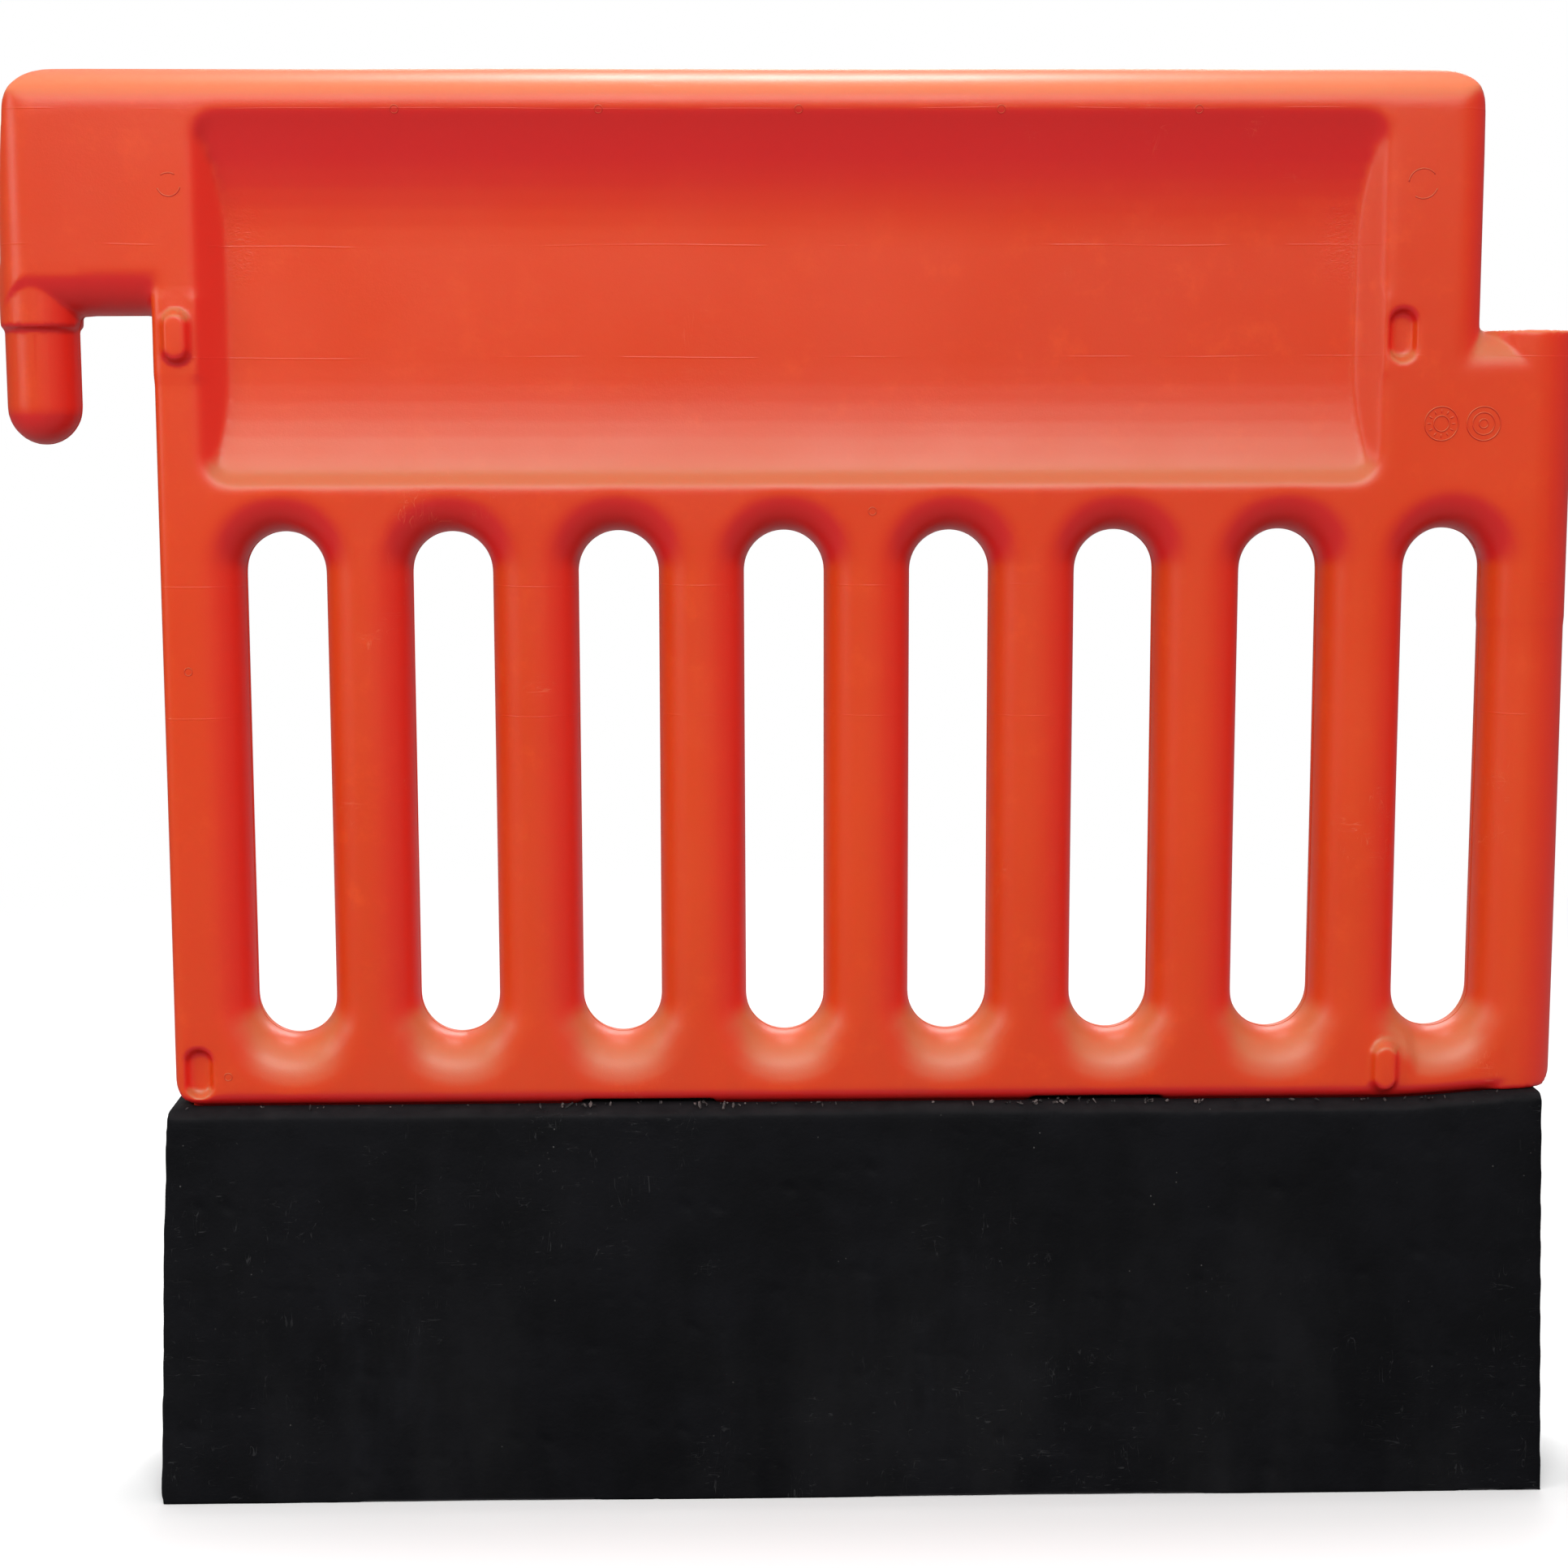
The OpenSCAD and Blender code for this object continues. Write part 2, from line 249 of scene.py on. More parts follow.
# The lower edge sweeps up a little towards the socket column.
RISE = 6 * MM


def sweep_up(x):
    share = np.clip((x - 0.405) / 0.11, 0, 1)
    return RISE * share * share * (3 - 2 * share)


skirt_edge = np.clip((seam_z + 0.045 - places[:, 2]) / 0.04, 0, 1) * (places[:, 2] > seam_z - 0.004)
places[:, 2] += sweep_up(places[:, 0]) * skirt_edge
places = np.clip(places, np.array(cad_box[0]), np.array(cad_box[1]))
set_vertex_places(panel, places)
PANEL_FACES = 188000
panel_share = PANEL_FACES / (2 * len(panel.data.polygons))
add_modifier(panel, "DECIMATE", decimate_type="COLLAPSE", ratio=panel_share)
bpy.ops.object.shade_smooth()

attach(panel, BODY)
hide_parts("barrier_panel")

# The plastic is coloured right through. Its skin copies the blasted steel of the mould as a
# fine matt grain, with faint flow lines where the plastic chilled against the mould.


def add_node(tree, kind, inputs=None, **settings):
    node = tree.nodes.new(kind)
    for name, value in settings.items():
        setattr(node, name, value)
    for name, value in (inputs or {}).items():
        node.inputs[name].default_value = value
    return node


def join(tree, giver, output, taker, taken):
    tree.links.new(giver.outputs[output], taker.inputs[taken])


def arithmetic(tree, operation, first, second=None, third=None):
    """A Math node. Each value is a number or a socket."""
    node = add_node(tree, "ShaderNodeMath", operation=operation)
    for place, value in enumerate((first, second, third)):
        if isinstance(value, (int, float)):
            node.inputs[place].default_value = value
        elif value is not None:
            tree.links.new(value, node.inputs[place])
    return node.outputs[0]


def ramp(tree, value, low, high):
    """Runs smoothly from 0 at low to 1 at high."""
    node = add_node(tree, "ShaderNodeMapRange", {"From Min": low, "From Max": high},
                    interpolation_type="SMOOTHSTEP")
    tree.links.new(value, node.inputs["Value"])
    return node.outputs["Result"]


def noise(tree, where, scale, detail=2.0, roughness=0.5, distortion=0.0):
    node = add_node(tree, "ShaderNodeTexNoise", {
        "Scale": scale, "Detail": detail, "Roughness": roughness, "Distortion": distortion})
    tree.links.new(where, node.inputs["Vector"])
    return node.outputs["Fac"]


def stretched(tree, where, scale, turn=(0, 0, 0)):
    node = add_node(tree, "ShaderNodeMapping", {"Scale": scale, "Rotation": turn})
    tree.links.new(where, node.inputs["Vector"])
    return node.outputs["Vector"]


def blend_colour(tree, factor, under, over):
    """Mixes two colours. Each is a linear RGBA value or a socket, and so is the factor."""
    node = add_node(tree, "ShaderNodeMix", data_type="RGBA")
    for socket, value in ((node.inputs[0], factor), (node.inputs[6], under), (node.inputs[7], over)):
        if isinstance(value, (int, float, tuple)):
            socket.default_value = value
        else:
            tree.links.new(value, socket)
    return node.outputs[2]


def effect_group(name, inputs, outputs):
    """A shader node group with named float inputs and outputs, and its own object coordinates."""
    tree = bpy.data.node_groups.new(name, "ShaderNodeTree")
    for socket, value in inputs.items():
        tree.interface.new_socket(socket, in_out="INPUT", socket_type="NodeSocketFloat").default_value = value
    for socket in outputs:
        tree.interface.new_socket(socket, in_out="OUTPUT", socket_type="NodeSocketFloat")
    taken = tree.nodes.new("NodeGroupInput")
    given = tree.nodes.new("NodeGroupOutput")
    where = tree.nodes.new("ShaderNodeTexCoord").outputs["Object"]
    return tree, taken.outputs, given.inputs, where


def use_effect(tree, group, **values):
    node = add_node(tree, "ShaderNodeGroup", node_tree=group)
    for name, value in values.items():
        node.inputs[name.replace("_", " ")].default_value = value
    return node.outputs


def new_material(name):
    """A material with an empty Principled shader. Gives the material, its tree, shader and place."""
    material = bpy.data.materials.new(name)
    material.use_nodes = True
    tree = material.node_tree
    shader = tree.nodes["Principled BSDF"]
    where = tree.nodes.new("ShaderNodeTexCoord").outputs["Object"]
    return material, tree, shader, where


def bump(tree, shader, height, distance, strength=1.0):
    node = add_node(tree, "ShaderNodeBump", {"Distance": distance, "Strength": strength})
    tree.links.new(height, node.inputs["Height"])
    join(tree, node, "Normal", shader, "Normal")
    return node


# Handling scuffs: short fine scratches in scattered patches.
scuffs, scuff_in, scuff_out, here = effect_group("handling_scuffs", {"Cover": 0.5}, ["Mask"])
scratches = 0.0
for turn, thread in ((0.35, (25, 60, 190)), (-0.75, (170, 60, 30)), (1.3, (30, 60, 230))):
    strand = noise(scuffs, stretched(scuffs, here, thread, (0, turn, 0)), 1.0, 1.0, 0.4, 1.2)
    strand = arithmetic(scuffs, "ABSOLUTE", arithmetic(scuffs, "SUBTRACT", strand, 0.5))
    broken = ramp(scuffs, noise(scuffs, here, 55 + 9 * turn, 2.0, 0.6), 0.56, 0.62)
    strand = arithmetic(scuffs, "MULTIPLY", ramp(scuffs, strand, 0.010, 0.002), broken)
    scratches = arithmetic(scuffs, "MAXIMUM", scratches, strand)
patch_edge = arithmetic(scuffs, "MULTIPLY_ADD", scuff_in["Cover"], -0.4, 0.8)
patch = arithmetic(scuffs, "SUBTRACT", noise(scuffs, here, 6, 3.0, 0.6), patch_edge)
scuffs.links.new(arithmetic(scuffs, "MULTIPLY", scratches, ramp(scuffs, patch, 0.0, 0.1)), scuff_out["Mask"])

# Road dust: thickest close to the ground and in faint run-down streaks.
dust, dust_in, dust_out, here = effect_group("road_dust", {"Reach": 0.3, "Amount": 0.5}, ["Mask"])
height = add_node(dust, "ShaderNodeSeparateXYZ")
dust.links.new(here, height.inputs[0])
rise = arithmetic(dust, "DIVIDE", height.outputs["Z"], dust_in["Reach"])
low_down = arithmetic(dust, "SUBTRACT", 1.0, rise)
cloud = noise(dust, stretched(dust, here, (6, 6, 2.2)), 1.6, 5.0, 0.62)
cloud = ramp(dust, cloud, 0.42, 0.75)
dust.links.new(
    arithmetic(dust, "MULTIPLY", arithmetic(dust, "MULTIPLY", ramp(dust, low_down, -0.4, 1.1), cloud),
               dust_in["Amount"]), dust_out["Mask"])

# Fine grain: the skin of a blasted mould, or the crumb of pressed rubber.
grain, grain_in, grain_out, here = effect_group("fine_grain", {"Scale": 600.0}, ["Height"])
node = add_node(grain, "ShaderNodeTexNoise", {"Detail": 3.0, "Roughness": 0.65})
grain.links.new(here, node.inputs["Vector"])
grain.links.new(grain_in["Scale"], node.inputs["Scale"])
grain.links.new(node.outputs["Fac"], grain_out["Height"])


def orange_plastic(name):
    material, tree, shader, where = new_material(name)
    place = add_node(tree, "ShaderNodeSeparateXYZ")
    tree.links.new(where, place.inputs[0])
    x, y, z = place.outputs

    tone = blend_colour(tree, ramp(tree, noise(tree, where, 3.2, 3.0), 0.35, 0.65),
                        (0.735, 0.058, 0.0045, 1), (0.690, 0.050, 0.0040, 1))
    tone = blend_colour(tree, ramp(tree, noise(tree, where, 38, 4.0, 0.7), 0.5, 0.8),
                        tone, (0.760, 0.069, 0.0065, 1))
    # Skin turned down or off to the right is painted a deeper red, a painted shade, and skin turned up is
    # painted paler, a painted highlight.
    facing = add_node(tree, "ShaderNodeSeparateXYZ")
    join(tree, tree.nodes.new("ShaderNodeTexCoord"), "Normal", facing, 0)
    # Painted shade: deeper red on skin turned to the right, then on skin turned down.
    tone = blend_colour(tree, ramp(tree, facing.outputs["X"], -0.25, 1.0), tone, (0.84, 0.022, 0.013, 1))
    tone = blend_colour(tree, ramp(tree, facing.outputs["Z"], 0.02, -0.28), tone, (0.65, 0.0125, 0.011, 1))
    # Painted highlight: paler colour on skin turned up, strongest on the steeper upward turns and easing off
    # on the flat tops.
    painted_highlight = arithmetic(tree, "MULTIPLY_ADD", ramp(tree, facing.outputs["Z"], 0.55, 1.0), -0.35, 0.85)
    painted_highlight = arithmetic(tree, "MULTIPLY", painted_highlight, ramp(tree, facing.outputs["Z"], 0.04, 0.45))
    tone = blend_colour(tree, painted_highlight, tone, (0.63, 0.165, 0.062, 1))
    scratch = use_effect(tree, scuffs, Cover=0.55)["Mask"]
    tone = blend_colour(tree, arithmetic(tree, "MULTIPLY", scratch, 0.3), tone, (0.86, 0.22, 0.10, 1))
    dirt = use_effect(tree, dust, Reach=0.42, Amount=0.22)["Mask"]
    tone = blend_colour(tree, dirt, tone, (0.22, 0.07, 0.035, 1))
    tree.links.new(tone, shader.inputs["Base Color"])
    shader.inputs["Subsurface Weight"].default_value = 0.25
    shader.inputs["Subsurface Radius"].default_value = (1.0, 0.06, 0.03)
    shader.inputs["Subsurface Scale"].default_value = 0.012

    patchy = ramp(tree, noise(tree, where, 11, 4.0), 0.3, 0.7)
    rough = arithmetic(tree, "MULTIPLY_ADD", patchy, 0.06, 0.36)
    rough = arithmetic(tree, "ADD", rough, arithmetic(tree, "MULTIPLY", scratch, 0.12))
    rough = arithmetic(tree, "ADD", rough, arithmetic(tree, "MULTIPLY", dirt, 0.4))
    tree.links.new(rough, shader.inputs["Roughness"])
    shader.inputs["Specular IOR Level"].default_value = 0.45

    skin = arithmetic(tree, "MULTIPLY", use_effect(tree, grain, Scale=780.0)["Height"], 0.55)
    peel = noise(tree, where, 210, 2.0, 0.5)
    skin = arithmetic(tree, "MULTIPLY_ADD", peel, 0.6, skin)
    wander = arithmetic(tree, "MULTIPLY_ADD", noise(tree, where, 5, 2.0), 0.006, -0.003)
    for line_z in (0.8500, 0.7765, 0.5364, 0.6247, 0.9375):
        off = arithmetic(tree, "ADD", arithmetic(tree, "SUBTRACT", z, line_z), wander)
        off = arithmetic(tree, "ABSOLUTE", off)
        broken = ramp(tree, noise(tree, stretched(tree, where, (9, 9, 1)), 1.0 + line_z, 3.0), 0.42, 0.56)
        line = arithmetic(tree, "MULTIPLY", ramp(tree, off, 0.0007, 0.0001), broken)
        skin = arithmetic(tree, "MULTIPLY_ADD", line, 0.9, skin)
    # Chatter wrinkles in the plastic beside the recess's two end walls.
    from_end = arithmetic(tree, "SUBTRACT", arithmetic(tree, "ABSOLUTE", x), 0.366)
    from_end = arithmetic(tree, "ABSOLUTE", from_end)
    near_end = ramp(tree, from_end, 0.020, 0.002)
    from_middle = arithmetic(tree, "ABSOLUTE", arithmetic(tree, "SUBTRACT", z, 0.855))
    chatter = arithmetic(tree, "MULTIPLY", near_end, ramp(tree, from_middle, 0.045, 0.012))
    wrinkle = noise(tree, stretched(tree, where, (190, 60, 330)), 1.0, 2.0, 0.5, 2.2)
    wrinkle = arithmetic(tree, "MULTIPLY", arithmetic(tree, "MULTIPLY", wrinkle, chatter), 2.2)
    skin = arithmetic(tree, "ADD", skin, wrinkle)
    skin = arithmetic(tree, "SUBTRACT", skin, arithmetic(tree, "MULTIPLY", scratch, 0.5))
    bump(tree, shader, skin, 0.10 * MM)
    return material


def finish_with(piece, material):
    piece.data.materials.clear()
    piece.data.materials.append(material)


panel_plastic = orange_plastic("orange_polyethylene")
finish_with(panel, panel_plastic)

# ---------------------------------------------------------------- parting line
# Where the two halves of the mould met, a fine bead of plastic stands round the whole
# outline and inside every slot. It is trimmed by hand, so its height comes and goes.

parting = bpy.data.objects.new("parting_line_bead", panel.data.copy())
bpy.context.scene.collection.objects.link(parting)
make_active(parting)
bpy.ops.object.mode_set(mode="EDIT")
bpy.ops.mesh.select_all(action="SELECT")
bpy.ops.mesh.bisect(plane_co=(0, 0, 0), plane_no=(0, 1, 0), clear_inner=True, clear_outer=True)
bpy.ops.mesh.select_all(action="DESELECT")
outline = bmesh.from_edit_mesh(parting.data)
for vertex in outline.verts:
    in_socket = abs(vertex.co.x - socket_x) < 0.0292 and vertex.co.z > 0.64
    on_rim = abs(vertex.co.x - socket_x) < 0.034 and vertex.co.z > 0.789
    vertex.select = vertex.co.z < seam_z + 0.001 or in_socket or on_rim
bmesh.update_edit_mesh(parting.data)
bpy.ops.mesh.delete(type="VERT")
bpy.ops.mesh.select_all(action="SELECT")
bpy.ops.mesh.dissolve_limited(angle_limit=math.radians(2.5))
bpy.ops.object.mode_set(mode="OBJECT")
bpy.ops.object.convert(target="CURVE")
parting.data.bevel_depth = 0.42 * MM
parting.data.bevel_resolution = 1
parting.data.use_fill_caps = True
bpy.ops.object.convert(target="MESH")
places = vertex_places(parting)
trim = 0.5 + 0.5 * waves(places, 9, 0.09, 0.02)
places[:, 1] *= 0.75 + 0.5 * np.clip(trim, 0, 1)
places = np.clip(places, np.array(cad_box[0]), np.array(cad_box[1]))
set_vertex_places(parting, places)
bpy.ops.object.shade_smooth()
finish_with(parting, panel_plastic)
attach(parting, BODY)

# ---------------------------------------------------------------- moulded marks
# Round inserts screwed into the mould leave raised rings on the front: two dated inserts
# beside the recess, kept plain here, two large plug rings, and vent marks along the rail.

panel_tree = BVHTree.FromPolygons(
    [v.co.copy() for v in panel.data.vertices], [tuple(p.vertices) for p in panel.data.polygons])


def skin_y(x, z):
    """Where the panel's front skin is at one place."""
    hit = panel_tree.ray_cast(Vector((x, -0.2, z)), Vector((0, 1, 0)))[0]
    return hit.y


def mould_ring(x, z, radius, width, proud, arc=(0, 360)):
    """A rounded ridge standing proud of the skin, all the way round or over part of a turn."""
    y = skin_y(x, z)
    bpy.ops.mesh.primitive_torus_add(
        major_radius=radius, minor_radius=width / 2, major_segments=56, minor_segments=8,
        location=(x, y, z), rotation=(math.pi / 2, 0, 0))
    ring = bpy.context.active_object
    bpy.ops.object.transform_apply(location=True, rotation=True, scale=True)
    bpy.ops.object.mode_set(mode="EDIT")
    bpy.ops.mesh.select_all(action="DESELECT")
    bpy.ops.object.mode_set(mode="OBJECT")
    if arc != (0, 360):
        for face in ring.data.polygons:
            turn = math.degrees(math.atan2(face.center.z - z, face.center.x - x)) % 360
            face.select = not arc[0] <= turn <= arc[1]
        bpy.ops.object.mode_set(mode="EDIT")
        bpy.ops.mesh.delete(type="FACE")
        bpy.ops.mesh.select_all(action="SELECT")
        bpy.ops.mesh.region_to_loop()
        bpy.ops.mesh.edge_face_add()
        bpy.ops.object.mode_set(mode="OBJECT")
    places = vertex_places(ring)
    places[:, 1] = y + (places[:, 1] - y) * proud / (width / 2)
    for i in range(len(places)):
        places[i, 1] += skin_y(float(places[i, 0]), float(places[i, 2])) - y
    set_vertex_places(ring, places)
    return ring


def mould_tick(x, z, turn, inner, outer, width, proud):
    """A short raised bar that points outwards from the middle of an insert."""
    middle = (inner + outer) / 2
    cx, cz = x + middle * math.cos(turn), z + middle * math.sin(turn)
    bpy.ops.mesh.primitive_cube_add(size=1, location=(cx, skin_y(cx, cz), cz), rotation=(0, -turn, 0),
                                    scale=(outer - inner, 2 * proud, width))
    bpy.ops.object.transform_apply(location=True, rotation=True, scale=True)
    bpy.ops.object.mode_set(mode="EDIT")
    bpy.ops.mesh.select_all(action="SELECT")
    bpy.ops.mesh.bevel(offset=0.3 * width, segments=2, affect="EDGES")
    bpy.ops.object.mode_set(mode="OBJECT")
    return bpy.context.active_object


marks = []
for insert_x in (433.5 * MM, 462 * MM):
    insert_z = 731.3 * MM
    marks.append(mould_ring(insert_x, insert_z, 11.3 * MM, 0.9 * MM, 0.65 * MM))
dial_x, dial_z = 433.5 * MM, 731.3 * MM
marks.append(mould_ring(dial_x, dial_z, 5.2 * MM, 0.9 * MM, 0.65 * MM))
for hour in range(12):
    marks.append(mould_tick(dial_x, dial_z, hour * math.pi / 6, 7.0 * MM, 9.4 * MM, 0.9 * MM, 0.45 * MM))
marks.append(mould_ring(462 * MM, 731.3 * MM, 7.4 * MM, 0.9 * MM, 0.65 * MM))
marks.append(mould_ring(462 * MM, 731.3 * MM, 3.0 * MM, 0.9 * MM, 0.65 * MM))
marks.append(mould_ring(-410 * MM, 888.7 * MM, 7.6 * MM, 0.9 * MM, 0.5 * MM, (200, 350)))
marks.append(mould_ring(-410 * MM, 888.7 * MM, 7.6 * MM, 0.9 * MM, 0.4 * MM, (60, 130)))
marks.append(mould_ring(417 * MM, 888.9 * MM, 9.8 * MM, 0.9 * MM, 0.35 * MM, (40, 175)))
marks.append(mould_ring(417 * MM, 888.9 * MM, 9.8 * MM, 0.9 * MM, 0.35 * MM, (240, 340)))
for vent_x in (-261.5, -128, 3.4, 136.7, 267.3):
    marks.append(mould_ring(vent_x * MM, 937 * MM, 2.6 * MM, 0.7 * MM, 0.35 * MM))
for vent_x, vent_z in ((-406.7, 568), (-388, 289.8), (52.4, 674)):
    marks.append(mould_ring(vent_x * MM, vent_z * MM, 2.6 * MM, 0.7 * MM, 0.35 * MM))
deselect_all()
for mark in marks:
    mark.select_set(True)
bpy.context.view_layer.objects.active = marks[0]
bpy.ops.object.join()
mould_marks = bpy.context.active_object
mould_marks.name = "mould_insert_marks"
bpy.ops.object.transform_apply(location=True, rotation=True, scale=True)
bpy.ops.object.shade_smooth()
finish_with(mould_marks, panel_plastic)
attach(mould_marks, BODY)

# ---------------------------------------------------------------- ballast base
# The base is about 29 kg of tyre crumb pressed and cured in an open-topped mould. Its
# faces are dense and dark but lumpy, and its corners crumble as it is dropped and dragged.

base = copy_of_node("ballast_base", "ballast_block")
add_modifier(base, "REMESH", mode="VOXEL", voxel_size=2.8 * MM, use_smooth_shade=True)
places = vertex_places(base)
outer = np.clip((np.abs(places[:, 1]) - 0.0265) / 0.006, 0, 1)
outer = np.maximum(outer, np.clip((base_lo.x + 0.012 - places[:, 0]) / 0.006, 0, 1))
outer = np.maximum(outer, np.clip((places[:, 0] - base_hi.x + 0.012) / 0.006, 0, 1))
soften(base, "edges", 0.15 + 0.85 * outer, 4)
places = vertex_places(base)
normals = vertex_normals(base)
x, y, z = places.T
lumps = 0.6 * MM * waves(places, 21, 0.40, 0.12) + 0.22 * MM * waves(places, 22, 0.05, 0.018)
pits = np.clip(waves(places, 23, 0.022, 0.008) - 0.75, 0, 1) * 1.6 * MM
shift = (lumps - pits - 0.4 * MM) * outer
# The left end bulges low down, where the block came out of its mould.
end_bulge = np.clip((base_lo.x + 0.02 - x) / 0.015, 0, 1)
end_bulge *= np.exp(-((z - 0.150) / 0.055) ** 2) * np.clip(1 - (np.abs(y) - 0.02) / 0.04, 0, 1)
places += normals * shift[:, None]
places[:, 0] -= 4.5 * MM * end_bulge
# The top front edge wanders, and the panel's skirt presses on it.
top_edge = np.clip((z - seam_z + 0.008) / 0.008, 0, 1) * (np.abs(y) > 0.0325)
places[:, 2] -= top_edge * MM * (0.9 + 1.2 * waves(places, 24, 0.16, 0.03))
places[:, 2] += sweep_up(places[:, 0]) * np.clip((z - seam_z + 0.06) / 0.05, 0, 1)
under_panel = (np.abs(places[:, 1]) < 0.0335) & (places[:, 0] > panel_lo.x)
lowest_skirt = seam_z + sweep_up(places[:, 0])
places[:, 2] = np.where(under_panel, np.minimum(places[:, 2], lowest_skirt), places[:, 2])
places[:, 1] = np.clip(places[:, 1], cad_box[0][1], cad_box[1][1])
places[:, 2] = np.clip(places[:, 2], 0, None)
places[z < 0.4 * MM, 2] = 0
set_vertex_places(base, places)
BASE_FACES = 150000
add_modifier(base, "DECIMATE", decimate_type="COLLAPSE",
             ratio=min(1, BASE_FACES / (2 * len(base.data.polygons))))
bpy.ops.object.shade_smooth()
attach(base, BODY)
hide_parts("ballast_base")


def crumb_rubber(name):
    material, tree, shader, where = new_material(name)
    black = blend_colour(tree, ramp(tree, noise(tree, where, 14, 5.0, 0.6), 0.35, 0.7),
                         (0.0024, 0.0025, 0.0033, 1), (0.0046, 0.0047, 0.0062, 1))
    streak = ramp(tree, noise(tree, stretched(tree, where, (16, 16, 5)), 1.0, 5.0, 0.65), 0.55, 0.8)
    black = blend_colour(tree, arithmetic(tree, "MULTIPLY", streak, 0.5), black, (0.0100, 0.0105, 0.0135, 1))
    dirt = use_effect(tree, dust, Reach=0.30, Amount=0.42)["Mask"]
    black = blend_colour(tree, dirt, black, (0.015, 0.015, 0.016, 1))
    # Faces turned up are painted paler in a noisy mottle, a painted highlight along the up-facing edges.
    facing = add_node(tree, "ShaderNodeSeparateXYZ")
    join(tree, tree.nodes.new("ShaderNodeTexCoord"), "Normal", facing, 0)
    painted_ledge_highlight = ramp(tree, facing.outputs["Z"], 0.2, 0.8)
    painted_ledge_highlight = arithmetic(tree, "MULTIPLY", painted_ledge_highlight, noise(tree, where, 60, 4.0))
    black = blend_colour(tree, painted_ledge_highlight, black, (0.019, 0.0175, 0.019, 1))
    scratch = use_effect(tree, scuffs, Cover=0.8)["Mask"]
    black = blend_colour(tree, arithmetic(tree, "MULTIPLY", scratch, 0.45), black, (0.045, 0.045, 0.047, 1))
    # Pale flecks: bits of tyre cord and grit caught in the crumb.
    cell = add_node(tree, "ShaderNodeTexVoronoi", {"Scale": 165.0, "Randomness": 1.0})
    tree.links.new(where, cell.inputs["Vector"])
    fleck = ramp(tree, cell.outputs["Distance"], 0.12, 0.05)
    flecked = ramp(tree, noise(tree, where, 31, 3.0, 0.7), 0.60, 0.68)
    fleck = arithmetic(tree, "MULTIPLY", fleck, flecked)
    black = blend_colour(tree, arithmetic(tree, "MULTIPLY", fleck, 0.6), black, (0.14, 0.135, 0.13, 1))
    tree.links.new(black, shader.inputs["Base Color"])
    rough = arithmetic(tree, "MULTIPLY_ADD", noise(tree, where, 40, 4.0), 0.22, 0.5)
    rough = arithmetic(tree, "ADD", rough, arithmetic(tree, "MULTIPLY", dirt, 0.3))
    tree.links.new(rough, shader.inputs["Roughness"])
    shader.inputs["Specular IOR Level"].default_value = 0.08
    height = arithmetic(tree, "MULTIPLY", use_effect(tree, grain, Scale=420.0)["Height"], 0.8)
    height = arithmetic(tree, "MULTIPLY_ADD", noise(tree, where, 95, 5.0, 0.7, 0.6), 1.6, height)
    height = arithmetic(tree, "SUBTRACT", height, arithmetic(tree, "MULTIPLY", scratch, 0.6))
    height = arithmetic(tree, "ADD", height, arithmetic(tree, "MULTIPLY", fleck, 0.6))
    bump(tree, shader, height, 0.32 * MM)
    return material


base_rubber = crumb_rubber("pressed_tyre_crumb")
finish_with(base, base_rubber)

# ---------------------------------------------------------------- seam crumbs
# When the skirt is pushed into its pockets it shaves crumbs and thin torn flash off the
# rubber, which stay along the seam, thickest beside the two notches.

draw = random.Random(41)
crumbs = []


def rubber_crumb(place, size, stretch):
    bpy.ops.mesh.primitive_ico_sphere_add(subdivisions=1, radius=size / 2, location=place, rotation=[
        draw.uniform(0, math.pi) for _ in range(3)])
    crumb = bpy.context.active_object
    crumb.scale = stretch
    bpy.ops.object.transform_apply(location=True, rotation=True, scale=True)
    for vertex in crumb.data.vertices:
        vertex.co += Vector([draw.gauss(0, 0.09 * size) for _ in range(3)])
    return crumb


def seam_crumb(x, side, size):
    stretch = (draw.uniform(0.9, 2.6), draw.uniform(0.7, 1.1), draw.uniform(0.4, 0.9))
    height = seam_z + float(sweep_up(x)) + draw.uniform(-0.4, 0.9) * MM
    return rubber_crumb((x, side * draw.uniform(32.4, 35.5) * MM, height), size, stretch)


for side in (-1, 1):
    for _ in range(62):
        crumbs.append(seam_crumb(draw.uniform(panel_lo.x + 0.10, 0.49), side, draw.uniform(0.8, 2.2) * MM))
    for notch_x in (-101 * MM, 209 * MM):
        for _ in range(15):
            offset = draw.choice((-1, 1)) * draw.gauss(0.048, 0.014)
            crumbs.append(seam_crumb(notch_x + offset, side, draw.uniform(1.2, 3.2) * MM))
        for _ in range(9):
            crumbs.append(rubber_crumb(
                (notch_x + draw.uniform(-0.04, 0.04), side * draw.uniform(24, 33) * MM, seam_z + 0.3 * MM),
                draw.uniform(1.0, 2.4) * MM, (draw.uniform(1, 3), 1, 0.5)))
deselect_all()
for crumb in crumbs:
    crumb.select_set(True)
bpy.context.view_layer.objects.active = crumbs[0]
bpy.ops.object.join()
seam_crumbs = bpy.context.active_object
seam_crumbs.name = "seam_rubber_crumbs"
bpy.ops.object.transform_apply(location=True, rotation=True, scale=True)


def torn_rubber(name):
    material, tree, shader, where = new_material(name)
    torn = blend_colour(tree, ramp(tree, noise(tree, where, 130, 4.0, 0.7), 0.42, 0.62),
                        (0.006, 0.006, 0.007, 1), (0.135, 0.105, 0.10, 1))
    torn = blend_colour(tree, arithmetic(tree, "MULTIPLY", use_effect(tree, scuffs, Cover=1.0)["Mask"], 0.3),
                        torn, (0.2, 0.18, 0.17, 1))
    tree.links.new(torn, shader.inputs["Base Color"])
    tree.links.new(arithmetic(tree, "MULTIPLY_ADD", noise(tree, where, 300, 3.0), 0.2, 0.7),
                   shader.inputs["Roughness"])
    bump(tree, shader, use_effect(tree, grain, Scale=900.0)["Height"], 0.2 * MM)
    return material


finish_with(seam_crumbs, torn_rubber("torn_rubber_dusty"))
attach(seam_crumbs, BODY)

